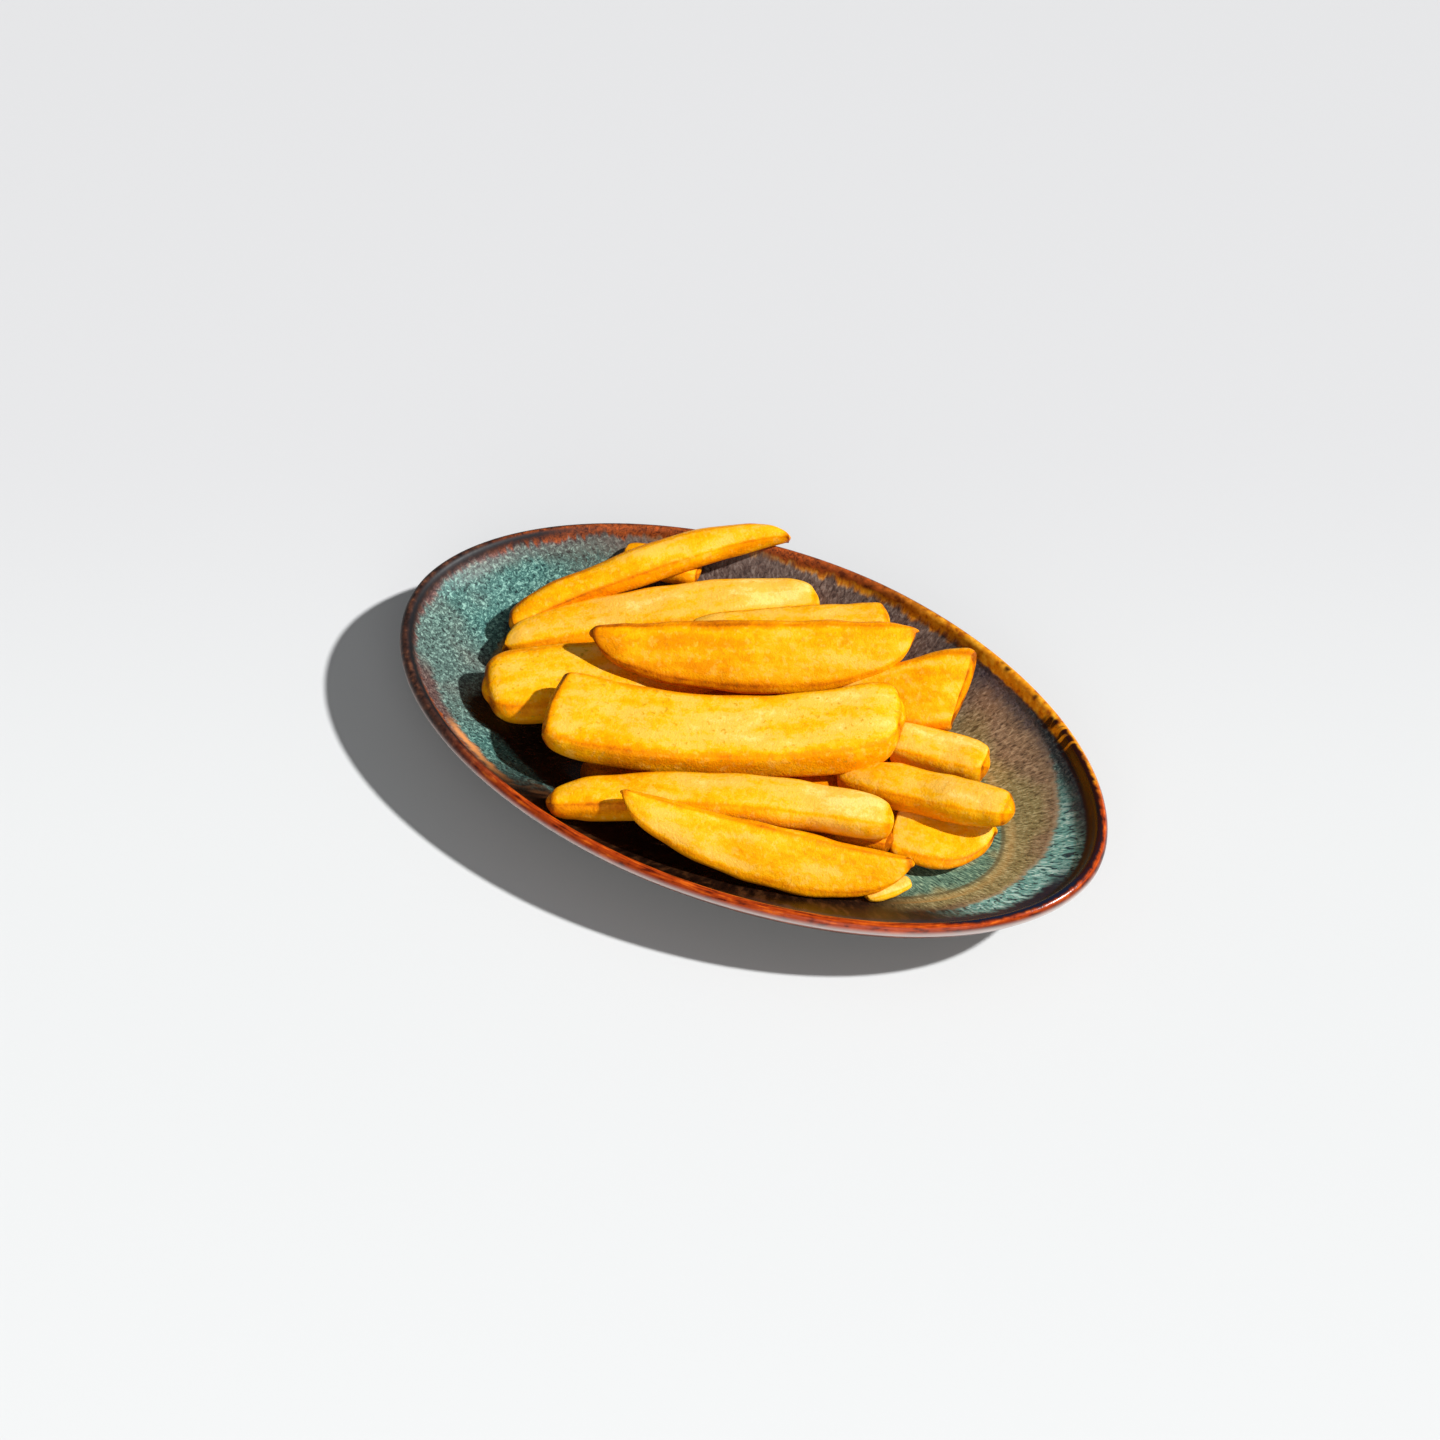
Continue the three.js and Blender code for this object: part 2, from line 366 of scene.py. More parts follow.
print("well edge is at", [round(v, 1) for v in semi_axes(WELL_SHARE)], "mm from the middle")

# %% The profile, from the axis in the well, over the lip, to the axis underneath
INSIDE = [0, 0.2, 0.4, 0.55, 0.61, 0.64, 0.66, 0.68, 0.693, 0.7, 0.707, 0.72]
WALL = [0.74, 0.77, 0.8, 0.83, 0.86, 0.89, 0.915, 0.935, 0.948]
OUTSIDE = [0.95, 0.9, 0.84, 0.78, 0.72]

# The lip as shares of the way out and millimetres below its top
LIP = [
    (0.957, 1.55), (0.965, 0.5), (0.975, 0), (0.986, 0.25),
    (0.995, 1.1), (1, 2.6), (0.996, 3.8), (0.986, 4.8),
]

# The foot ring as steps out from its outer and its inner edge, and heights above the table
FOOT_OUTSIDE = [(0.012, 3.4), (0, 0.8), (-0.008, 0.1), (-0.014, 0)]
FOOT_INSIDE = [(0.014, 0), (0.008, 0.1), (0, 0.7), (-0.01, 2.4), (-0.02, FOOT_RECESS)]


def inside_height(share):
    """Height of the glazed inside, below the lip."""
    if share <= WELL_SHARE:
        near_edge = max((share / WELL_SHARE - 1) / WELL_EDGE_BREADTH + 1, 0)
        return WELL_HEIGHT + (WELL_EDGE_HEIGHT - WELL_HEIGHT) * near_edge**WELL_EDGE_CURVE
    up_wall = (share - WELL_SHARE) / (1 - WELL_SHARE)
    return WELL_EDGE_HEIGHT + (PLATE_HEIGHT - WELL_EDGE_HEIGHT) * up_wall**WALL_CURVE


def plate_profile():
    foot_outer = FOOT_SHARE + FOOT_BREADTH / 2
    foot_inner = FOOT_SHARE - FOOT_BREADTH / 2
    return [
        *((share, inside_height(share)) for share in INSIDE + WALL),
        *((share, PLATE_HEIGHT - drop) for share, drop in LIP),
        *((share, inside_height(share) - WALL_THICKNESS) for share in OUTSIDE),
        *((foot_outer + step, height) for step, height in FOOT_OUTSIDE),
        *((foot_inner + step, height) for step, height in FOOT_INSIDE),
        (0, FOOT_RECESS),
    ]


print("profile points", len(plate_profile()))

# %% Turn the profile, then lay it out on the oval
PLATE_STEPS = 160
SAME_POINT = 1e-5


def turn_plate():
    """A closed plate. The layer round_dish holds each point's direction and its way out, which
    counts 0 to 1 over the inside and on from 1 to 2 underneath."""
    shape = bmesh.new()
    layer = shape.verts.layers.float_vector.new("round_dish")
    profile = plate_profile()
    outermost = max(range(len(profile)), key=lambda i: profile[i][0])
    line = []
    for i, (share, height) in enumerate(profile):
        point = shape.verts.new((share, 0, height))
        point[layer] = (1, 0, share if i <= outermost else 2 - share)
        line.append(point)
    edges = [shape.edges.new(pair) for pair in zip(line, line[1:])]
    bmesh.ops.spin(
        shape, geom=line + edges, axis=(0, 0, 1), cent=(0, 0, 0),
        angle=2 * math.pi, steps=PLATE_STEPS, use_merge=True,
    )
    bmesh.ops.remove_doubles(shape, verts=shape.verts, dist=SAME_POINT)
    for point in shape.verts:
        share = math.hypot(point.co.x, point.co.y)
        angle = math.atan2(point.co.y, point.co.x)
        point[layer] = (math.cos(angle), math.sin(angle), point[layer][2])
        x, y = plan_point(share, angle)
        point.co = Vector((x, y, point.co.z)) * MM
    bmesh.ops.recalc_face_normals(shape, faces=shape.faces)
    return shape


# %% [markdown]
# ## The glaze
#
# A reactive glaze pools and runs: it breaks to rust where it is thin at the lip, goes nearly
# black where it gathers under the lip, and floats pale crystals where it lies thick on the wall.
# The zones follow the plate's own form, so they are written in its way out from the middle and
# in the direction round it, in degrees from the right end through the far side. Most edges are
# made ragged by noise that is stretched down the wall, because glaze runs downhill. A few zones
# are painted light and shade rather than glaze: painted shade in the well under the heap and on
# the front wall, a painted highlight under the lip at the front left, and a painted reflection
# along the lip's outer edge in front.

# %% Glaze colours, most of them as a dark, a middle and a pale shade
POOL = (shade(22, 40, 42), shade(64, 104, 98), shade(138, 182, 168))
POOL_PALE = (shade(30, 62, 72), shade(120, 182, 170), shade(210, 242, 230))
WELL = (shade(34, 50, 44), shade(88, 116, 96), shade(158, 182, 150))
OLIVE = (shade(92, 80, 50), shade(144, 130, 84), shade(194, 180, 132))
CLAY = (shade(92, 72, 54), shade(142, 116, 88), shade(184, 156, 122))
MAUVE = (shade(64, 50, 46), shade(98, 80, 72), shade(136, 120, 110))
PLUM = (shade(46, 28, 28), shade(88, 58, 54), shade(132, 102, 92))
# Painted shade: the dark brown laid where the heap shades the well and on the front wall
PAINTED_WELL_SHADE = (shade(14, 6, 4), shade(30, 15, 8), shade(68, 40, 20))
RUST = (shade(84, 20, 4), shade(162, 56, 8), shade(212, 96, 18))
BRICK = (shade(80, 26, 8), shade(142, 66, 20), shade(186, 84, 30))
AMBER = (shade(172, 88, 8), shade(216, 134, 14), shade(238, 168, 38))
BARK = (shade(30, 16, 12), shade(66, 38, 28), shade(112, 68, 46))
SLATE = (shade(24, 26, 36), shade(62, 56, 62), shade(104, 94, 96))
RING = shade(182, 140, 78)
INK = shade(14, 12, 16)
NAVY = shade(16, 24, 46)
# Painted highlight: the copper streak where the glaze catches the lamp under the lip
PAINTED_COPPER_HIGHLIGHT = shade(216, 142, 82)
# Painted reflection: the pale line where the lip's outer edge reflects the bright table
PAINTED_LIP_REFLECTION = shade(206, 192, 186)
UNDERSIDE = shade(92, 74, 62)
DROP = shade(46, 10, 5)

# %% Glaze patterns
# A pattern with a run lies along the flow: a small run stretches it downhill, and a small about
# stretches it along the rim. The others have the size of their lumps in millimetres.
PATTERNS = {
    "flecks": {"size": 1.15, "detail": 3, "roughness": 0.7, "distortion": 0.8},
    "strokes": {"run": 46, "size": 0.85, "detail": 3, "roughness": 0.65, "distortion": 0.6},
    "curls": {"run": 46, "size": 1.8, "detail": 2, "distortion": 1.6},
    "streaks": {"run": 26, "size": 2.2, "detail": 3},
    "broad": {"size": 20, "detail": 2},
    "blotches": {"size": 2.6, "detail": 3, "roughness": 0.6},
    "rim_streaks": {"run": 150, "about": 16, "size": 1.0, "detail": 3},
    "spills": {"run": 24, "size": 2.2, "detail": 1},
}
ROUND_ABOUT = 90
DARK_TO_MIDDLE = (0.34, 0.5)
MIDDLE_TO_PALE = (0.5, 0.68)

# How far the streaks, and then the broad lumps, move an edge, as shares of the way out
RAGGED_ZONE = (0.05, 0.03)
RAGGED_GROUND = (-0.035, -0.02)
RAGGED_RING = (0.02, 0)
RAGGED_LIP = (0.016, 0)
RAGGED_FRINGE = (0.02, 0)
RAGGED_SPILL = (0.03, 0)

# %% Zones of the glaze
# faces: a direction, how far to both sides of it the zone is full, and where it has ended.
# from: the shares of the way out at which it starts and is full. line: the share in its middle
# and its reach. An even from or line has a smooth edge, and the others have a ragged one.
ZONES = {
    "right_end": {"faces": (-14, 28, 52)},
    "greyed_left": {"faces": (206, 10, 26), "strength": 0.3},
    "ground_far": {"faces": (105, 24, 60)},
    "no_ground": {"faces": (198, 46, 72)},
    "ground_outline": {"faces": (10, 45, 60), "strength": 0.5},
    "faint_ring": {"faces": (10, 40, 64), "strength": 0.45},
    "under_ring": {"even_line": (0.684, 0.01), "strength": 0.7},
    "front_ring": {"faces": (300, 28, 50), "even_line": (0.715, 0.008), "strength": 0.8},
    # Painted shade: where the heap shades the well, and how far up the wall that shade reaches
    "painted_well_shade": {"faces": (250, 64, 86)},
    "shade_higher_left": {"faces": (213, 6, 13), "strength": 0.055},
    "shade_higher_front": {"faces": (288, 24, 44), "strength": 0.06},
    "shade_lower_left": {"faces": (194, 10, 22), "strength": 0.07},
    "amber_band": {"faces": (88, 34, 48), "from": (0.935, 0.955)},
    "grey_band": {"faces": (140, 24, 40), "from": (0.875, 0.935), "strength": 0.5},
    "plum_band": {"faces": (184, 30, 54), "from": (0.935, 0.952)},
    "plum_blush": {"faces": (227, 12, 24), "from": (0.89, 0.92), "strength": 0.9},
    "brick_band": {"faces": (236, 14, 26), "from": (0.94, 0.952)},
    # Painted highlight: a copper streak under the lip at the front left
    "painted_highlight_band": {"faces": (235, 3, 12), "line": (0.918, 0.028)},
    # Painted shade: the inside of the front wall is painted dark brown, as it lies in shade
    "front_wall_shade": {"faces": (286, 38, 56), "from": (0.745, 0.8)},
    "slate_band": {"faces": (42, 20, 34), "from": (0.86, 0.925), "strength": 0.85},
    "gathered": {"faces": (-32, 24, 42), "from": (0.855, 0.9)},
    "gathered_end": {"faces": (0, 26, 40), "from": (0.915, 0.95)},
    "amber_lip": {"faces": (67, 34, 44)},
    "brick_lip": {"faces": (108, 16, 36)},
    "bark_lip": {"faces": (184, 44, 68)},
    "late_lip": {"faces": (-8, 22, 36), "strength": 0.028},
    "early_lip": {"faces": (46, 14, 26), "strength": 0.01},
    "brick_fringe": {"faces": (128, 22, 38), "from": (0.945, 0.955)},
    "far_outer_edge": {"faces": (135, 55, 75), "even_line": (0.993, 0.014)},
    "drops": {"faces": (38, 20, 32)},
    "large_drops": {"faces": (20, 4, 24), "strength": 0.22},
    "spills": {"faces": (26, 26, 32)},
    "thick_spills": {"faces": (14, 12, 36), "strength": 0.6},
    "right_outer_edge": {"faces": (2, 30, 50), "even_line": (1.0, 0.011), "strength": 0.8},
    "left_inner_edge": {"faces": (192, 40, 58), "even_line": (0.963, 0.018)},
    "right_inner_edge": {"faces": (350, 50, 70), "strength": 0.8},
    # Painted reflection: a pale line along the outer edge of the lip in front
    "painted_reflection_edge": {"faces": (270, 85, 100), "even_line": (1.004, 0.009)},
    "underside": {"even_from": (1.014, 1.03)},
    "satin_left": {"faces": (165, 60, 90), "even_from": (0.9, 0.935), "strength": 0.3},
}


# %% A finish that knows its way round the plate
class Glaze(Finish):
    """A Finish with the patterns and zones of the glaze, and with the colour laid on so far."""

    def __init__(self, name, **constants):
        super().__init__(name, **constants)
        self.place_on_plate = self.place()
        self.course = self.attribute("round_dish", out="Vector")
        self.ahead, self.aside, self.out = self.axes(self.course)
        self.patterns = {kind: self.pattern(**numbers) for kind, numbers in PATTERNS.items()}
        self.reach = self.ragged(*RAGGED_ZONE)
        self.colour = None

    def pattern(self, run=None, about=ROUND_ABOUT, **numbers):
        where = self.along_flow(run, about) if run else self.place_on_plate
        return self.grain(where, **numbers)

    def along_flow(self, run, about=ROUND_ABOUT):
        """Coordinates round and down the wall."""
        stretch = {0: self.course, 1: (about, about, run)}
        return self.node("VectorMath", {"operation": "MULTIPLY"}, stretch)

    def ragged(self, streaky, lumpy):
        """The way out from the middle, moved by the streaks and lumps of the glaze."""
        wander = (self.patterns["streaks"] - 0.5) * streaky
        if lumpy:
            wander = wander + (self.patterns["broad"] - 0.5) * lumpy
        return self.out + wander

    def facing(self, degrees, full, none):
        """1 within full degrees of a direction round the plate, 0 from none degrees away."""
        turn = math.radians(degrees)
        cosine = self.ahead * math.cos(turn) + self.aside * math.sin(turn)
        return cosine.rise(math.cos(math.radians(none)), math.cos(math.radians(full)))

    def zone(self, name):
        """How strongly a zone covers each point."""
        places = ZONES[name]
        across = {
            "faces": self.facing,
            "from": self.reach.rise,
            "line": self.reach.band,
            "even_from": self.out.rise,
            "even_line": self.out.band,
        }
        share = places.get("strength", 1)
        for kind, measure in across.items():
            if kind in places:
                share = share * measure(*places[kind])
        return share

    def mottled(self, pattern, shades):
        """The dark shade in the hollows of a pattern, the middle one, and the pale on its tops."""
        colour = self.mix(pattern.rise(*DARK_TO_MIDDLE), shades[0], shades[1])
        return self.mix(pattern.rise(*MIDDLE_TO_PALE), colour, shades[2])

    def lay(self, share, colour, pattern=None):
        """Lays a colour, or three mottled shades, over what is there as far as share says."""
        paint = self.mottled(self.patterns[pattern], colour) if pattern else colour
        self.colour = self.mix(share, self.colour, paint)


print("zones of the glaze", len(ZONES))

# %% The pool with its floating crystals, which run into strokes and pale at the right end
GREYED_PATCHES = (0.5, 0.75)
GREYED_STRENGTH = 0.25


def lay_pool(glaze):
    flecks, broad = glaze.patterns["flecks"], glaze.patterns["broad"]
    greyed = broad.rise(*GREYED_PATCHES) * GREYED_STRENGTH + glaze.zone("greyed_left")
    glaze.colour = glaze.mottled(flecks, POOL)
    glaze.lay(greyed, MAUVE, "flecks")
    glaze.lay(glaze.zone("right_end"), POOL_PALE, "curls")


# %% The brown ground of the right and the far side, and where it ends on the way out
GROUND_END = 0.842
GROUND_END_AHEAD = -0.058
GROUND_END_FAR = 0.161
GROUND_FADES = (-0.018, 0.012)
GROUND_OUTLINE = (0.004, 0.012)
CLAY_WANDER = 0.2
OLIVE_TO_CLAY = (0.74, 0.84)


def lay_ground(glaze):
    strokes = glaze.patterns["strokes"]
    high_up = (glaze.reach + (glaze.patterns["broad"] - 0.5) * CLAY_WANDER).rise(*OLIVE_TO_CLAY)
    ground = glaze.mix(high_up, glaze.mottled(strokes, OLIVE), glaze.mottled(strokes, CLAY))
    ground = glaze.mix(glaze.zone("ground_far"), ground, glaze.mottled(strokes, MAUVE))
    far = glaze.math("MAXIMUM", glaze.aside, 0)
    end = GROUND_END + glaze.ahead * GROUND_END_AHEAD + far * GROUND_END_FAR
    inside_end = end - glaze.ragged(*RAGGED_GROUND)
    glaze.lay(inside_end.rise(*GROUND_FADES) * (1 - glaze.zone("no_ground")), ground)
    glaze.lay(inside_end.band(*GROUND_OUTLINE) * glaze.zone("ground_outline"), CLAY[2])


# %% The well: green and brown in patches, with painted shade under the heap, and a pale ring at its edge
WELL_FADES = (0.676, 0.694)
WELL_PATCHES = (0.45, 0.6)
RING_LINE = (0.708, 0.02)
RING_STRENGTH = 0.8
# Where the painted shade of the well ends on the way out
WELL_SHADE_END = 0.765
WELL_SHADE_FADES = (-0.02, 0.02)


def lay_well(glaze):
    strokes = glaze.patterns["strokes"]
    patches = glaze.patterns["broad"].rise(*WELL_PATCHES)
    well = glaze.mix(patches, glaze.mottled(strokes, WELL), glaze.mottled(strokes, OLIVE))
    glaze.lay(glaze.out.fall(*WELL_FADES), well)
    ring = glaze.ragged(*RAGGED_RING).band(*RING_LINE)
    glaze.lay(ring * (RING_STRENGTH - glaze.zone("faint_ring")), RING)
    glaze.lay(glaze.zone("under_ring"), OLIVE[0])
    glaze.lay(glaze.zone("front_ring"), RING)
    # Painted shade: the well is painted dark brown where the heap shades it
    shade_end = WELL_SHADE_END + glaze.zone("shade_higher_left") + glaze.zone("shade_higher_front")
    shade_end = shade_end - glaze.zone("shade_lower_left")
    dark = (glaze.reach - shade_end).fall(*WELL_SHADE_FADES)
    glaze.lay(dark * glaze.zone("painted_well_shade"), PAINTED_WELL_SHADE, "strokes")


# %% Bands under the lip
def lay_bands(glaze):
    glaze.lay(glaze.zone("amber_band"), AMBER, "strokes")
    glaze.lay(glaze.zone("grey_band"), MAUVE, "flecks")
    glaze.lay(glaze.zone("plum_band"), PLUM, "flecks")
    glaze.lay(glaze.zone("plum_blush"), PLUM, "flecks")
    glaze.lay(glaze.zone("brick_band"), BRICK, "flecks")
    # Painted highlight under the lip at the front left
    glaze.lay(glaze.zone("painted_highlight_band"), PAINTED_COPPER_HIGHLIGHT)
    # Painted shade on the inside of the front wall
    glaze.lay(glaze.zone("front_wall_shade"), PAINTED_WELL_SHADE, "streaks")
    glaze.lay(glaze.zone("slate_band"), SLATE, "flecks")
    glaze.lay(glaze.zone("gathered"), NAVY)
    glaze.lay(glaze.zone("gathered_end"), NAVY)


# %% The lip: rust in front, brick and amber at the far side, bark at the left
LIP_STARTS = 0.954
LIP_FADES = (-0.004, 0.003)
FRINGE_ENDS = (0.972, 0.984)
RIM_STREAKS_SHARE = 0.7
RIM_BLOTCHES_SHARE = 0.3


def lay_lip(glaze):
    """Lays the lip and returns the way out from its ragged start."""
    blotches = glaze.patterns["blotches"]
    streaky = glaze.patterns["rim_streaks"] * RIM_STREAKS_SHARE + blotches * RIM_BLOTCHES_SHARE
    lip = glaze.mottled(streaky, RUST)
    lip = glaze.mix(glaze.zone("amber_lip"), lip, glaze.mottled(blotches, AMBER))
    lip = glaze.mix(glaze.zone("brick_lip"), lip, glaze.mottled(blotches, BRICK))
    lip = glaze.mix(glaze.zone("bark_lip"), lip, glaze.mottled(blotches, BARK))
    lip_start = LIP_STARTS + glaze.zone("late_lip") - glaze.zone("early_lip")
    lip_edge = glaze.ragged(*RAGGED_LIP) - lip_start
    glaze.lay(lip_edge.rise(*LIP_FADES), lip)
    fringe = glaze.ragged(*RAGGED_FRINGE).fall(*FRINGE_ENDS)
    glaze.lay(fringe * glaze.zone("brick_fringe"), BRICK, "flecks")
    return lip_edge


# %% Dark drops and spills that run in from the lip at the right
DROP_RUN = 64
DROP_SCALE = 0.24
DROP_SIZE = (0.2, 0.36)
DROPS_START = (0.928, 0.94)
DROPS_END = (0.968, 0.99)
SPILL_SIZE = (0.68, 0.78)
SPILLS_END = (0.972, 0.986)


def lay_drops(glaze):
    sockets = {"Vector": glaze.along_flow(DROP_RUN), "Scale": DROP_SCALE}
    nearest_drop = glaze.node("TexVoronoi", sockets=sockets)
    drops = (nearest_drop - glaze.zone("large_drops")).fall(*DROP_SIZE) * glaze.zone("drops")
    spills = (glaze.patterns["spills"] + glaze.zone("thick_spills")).rise(*SPILL_SIZE)
    spills = spills * glaze.zone("spills") * glaze.ragged(*RAGGED_SPILL).fall(*SPILLS_END)
    drops = glaze.math("MAXIMUM", drops * glaze.out.fall(*DROPS_END), spills)
    glaze.lay(drops * glaze.out.rise(*DROPS_START), DROP)


# %% The glaze, laid on from the pool to the lines along the lip
RIGHT_INNER_LINE = (0, 0.008)
GLOSS = 0.16
FLECK_ROUGHNESS = 0.12
POOL_ROUGHNESS = 0.25
POOL_ROUGH_UNTIL = (0.94, 0.97)
GLAZE_RELIEF = 0.06


def reactive_glaze():
    glaze = Glaze("reactive_glaze", IOR=1.5, Specular_IOR_Level=0.27)
    lay_pool(glaze)
    lay_ground(glaze)
    lay_well(glaze)
    lay_bands(glaze)
    lip_edge = lay_lip(glaze)
    glaze.lay(glaze.zone("far_outer_edge"), BARK[0])
    lay_drops(glaze)
    glaze.lay(glaze.zone("right_outer_edge"), BARK[0])
    glaze.lay(glaze.zone("left_inner_edge"), INK)
    glaze.lay(lip_edge.band(*RIGHT_INNER_LINE) * glaze.zone("right_inner_edge"), INK)
    # Painted reflection along the lip's outer edge in front
    glaze.lay(glaze.zone("painted_reflection_edge"), PAINTED_LIP_REFLECTION)
    glaze.lay(glaze.zone("underside"), UNDERSIDE)

    flecks, streaks = glaze.patterns["flecks"], glaze.patterns["streaks"]
    satin_pool = glaze.zone("right_end") * glaze.out.fall(*POOL_ROUGH_UNTIL) * POOL_ROUGHNESS
    roughness = GLOSS + flecks * FLECK_ROUGHNESS + glaze.zone("satin_left") + satin_pool
    return glaze.show(glaze.colour, roughness, flecks * 0.5 + streaks * 0.5, GLAZE_RELIEF)


add_piece("stoneware_plate", turn_plate(), reactive_glaze(), "plate", levels=1)

# %% [markdown]
# ## One fry
#
# A thick-cut fry starts as a square bar of potato or as a wedge off the potato's side. In the
# fryer its faces sink a little, its edges round over and brown, and its tips taper. Each fry
# starts here as a cube cut into a fine grid, which a few named numbers then turn into a bar, a
# wedge or a sliver. Modelling every fry by hand would look as good, but then no two would share
# a rule. The numbers say, with a pair for the start and the end of the fry:
#
# - width, thick: its size in the middle, in millimetres, which the pairs ends and depths scale
#   towards its ends, while waist narrows its middle
# - tips, thin: how much of the width and of the thickness is left at the very tips
# - fullness: how late the taper starts, and squareness: how square the section is
# - near_edge: how much of the thickness is left at its right side
# - flare: how much wider it is at the bottom than in the middle of its height
# - lean, keel: how far its width moves to its left and its thickness down, as shares of their
#   halves, so that the other side or the top stays straight
# - bow, arch: how far its middle moves to its right and up, in millimetres
# - roll: its turn about its own length with the right side going down, in degrees
# - slant: how askew its ends are cut, in millimetres
# - tones: how brown it is, pits: how pitted it is, and lumps: how uneven it is

# %% What a fry is like where nothing else is said
PLAIN_FRY = {
    "width": 15,
    "thick": 11,
    "ends": (1, 1),
    "depths": (1, 1),
    "waist": 0,
    "tips": (0.7, 0.7),
    "thin": (0.8, 0.8),
    "fullness": 5,
    "squareness": 2.9,
    "near_edge": 1,
    "flare": 0,
    "lean": 0,
    "keel": 0,
    "bow": 0,
    "arch": 0,
    "roll": 0,
    "slant": (0, 0),
    "tones": (0.5, 0.5),
    "pits": 0.3,
    "lumps": 1,
}
TAPER_CURVE = 0.6
TIP_DOME = 0.3
TIP_DOME_REACH = 8


def between(pair, s):
    """The first of the pair at the start of the fry, s = -1, and the second at its end, s = 1."""
    return pair[0] + (pair[1] - pair[0]) * (s + 1) / 2


def fry_point(fry, box, half):
    """Where a point of the unit box goes: along the fry, to its right and up, from its middle."""
    s = math.sin(math.pi / 2 * box.x)
    right = -box.y
    top = box.z
    power = fry["squareness"]
    square = (abs(right) ** power + abs(top) ** power) ** (1 / power) or 1
    reach = max(abs(right), abs(top)) / square
    p = right * reach
    q = top * reach * (1 - (1 - fry["near_edge"]) * (p + 1) / 2)
    full = max(0, 1 - abs(s) ** fry["fullness"]) ** TAPER_CURVE
    tip = between(fry["tips"], s)
    thin = between(fry["thin"], s)
    middleness = 1 - s * s
    width = fry["width"] / 2 * (tip + (1 - tip) * full) * between(fry["ends"], s)
    width *= 1 - fry["waist"] * middleness
    thick = fry["thick"] / 2 * (thin + (1 - thin) * full) * between(fry["depths"], s)
    dome = TIP_DOME * fry["thick"] / 2 * abs(s) ** TIP_DOME_REACH * (p * p + q * q)
    along = s * half + p * between(fry["slant"], s) - math.copysign(dome, s)
    y = width * (p * (1 - fry["flare"] * q) - fry["lean"]) + fry["bow"] * middleness
    z = thick * (q - fry["keel"])
    roll = math.radians(fry["roll"])
    return (
        along,
        y * math.cos(roll) + z * math.sin(roll),
        z * math.cos(roll) - y * math.sin(roll) + fry["arch"] * middleness,
    )


print("a plain fry's middle section is", PLAIN_FRY["width"], "by", PLAIN_FRY["thick"], "mm")

# %% [markdown]
# ### Resting on the dish
#
# A fry that lies on the plate touches it and doesn't cut into it. The height of the dish under
# any point follows from how far out that point lies, which is found by halving the range a few
# times.

# %% Height of the dish under a point, in millimetres
FURTHEST_SHARE = 1.3
HALVINGS = 18
LIP_SHARE = 0.955
CLEARANCE = 0.1


def share_at(x, y):
    """How far out a point of the table plan lies, as a share of the way to the rim."""
    along = x / (PLATE_LENGTH / 2)
    y = (y + PLAN_BEND * along**2) / (1 - PLAN_NARROWING * along)
    low, high = 0.0, FURTHEST_SHARE
    for _ in range(HALVINGS):
        share = (low + high) / 2
        half_length, half_width = semi_axes(share)
        outside = abs(x / half_length) ** PLAN_POWER + abs(y / half_width) ** PLAN_POWER > 1
        low, high = (share, high) if outside else (low, share)
    return share


def dish_height(x, y):
    """The lowest that a fry may be here. Past the rim that is the table."""
    share = share_at(x, y)
    if share > LIP_SHARE:
        return PLATE_HEIGHT + CLEARANCE if share < 1 else 0
    return inside_height(share) + CLEARANCE


for across in (0, 60):
    print("dish height", across, "mm across from the middle:", round(dish_height(0, across), 1))

# %% Cut a cube into a fine grid
STEPS_ALONG = 44
STEPS_ACROSS = 8
TINY = 1e-6


def length_along(edge):
    return abs(edge.verts[0].co.x - edge.verts[1].co.x)


def cut_blank():
    """A cube from -1 to 1 cut into a grid, from which every fry is bent."""
    shape = bmesh.new()
    bmesh.ops.create_cube(shape, size=2)
    lengthways = [edge for edge in shape.edges if length_along(edge) > 1]
    bmesh.ops.subdivide_edges(shape, edges=lengthways, cuts=STEPS_ALONG - 1)
    crossways = [edge for edge in shape.edges if length_along(edge) < TINY]
    bmesh.ops.subdivide_edges(shape, edges=crossways, cuts=STEPS_ACROSS - 1, use_grid_fill=True)
    mesh = bpy.data.meshes.new("blank")
    shape.to_mesh(mesh)
    shape.free()
    return mesh


blank = cut_blank()
print("blank points", len(blank.vertices), "faces", len(blank.polygons))

# %% Bend the grid into a fry
# The layers tell the crust where a point is: near an edge, low, on a side or at a tip.
CRUST_LAYERS = ("edge", "low", "side", "tip", "tone", "pits")
SIDE_SHARPNESS = 2
STREAK_STRETCH = 3.5


def bend(points, layers, fry):
    start, end = Vector(fry["from"]), Vector(fry["to"])
    middle = (start + end) / 2
    half = (end - start).length / 2
    ahead = (end - start).normalized()
    right = ahead.cross(Vector((0, 0, 1))).normalized()
    up = right.cross(ahead)
    for point in points:
        box = point.co.copy()
        sideways = (abs(box.y) - abs(box.z)) * SIDE_SHARPNESS
        along_share = math.sin(math.pi / 2 * box.x)
        along, across, high = fry_point(fry, box, half)
        point[layers["edge"]] = sorted(abs(v) for v in box)[1]
        point[layers["low"]] = (1 - box.z) / 2
        point[layers["side"]] = max(-1, min(1, sideways)) / 2 + 0.5
        point[layers["tip"]] = abs(along_share)
        point[layers["tone"]] = between(fry["tones"], along_share)
        point[layers["pits"]] = fry["pits"]
        point[layers["cut"]] = (along / STREAK_STRETCH, across, high + start.x + start.y)
        point.co = middle + ahead * along + right * across + up * high


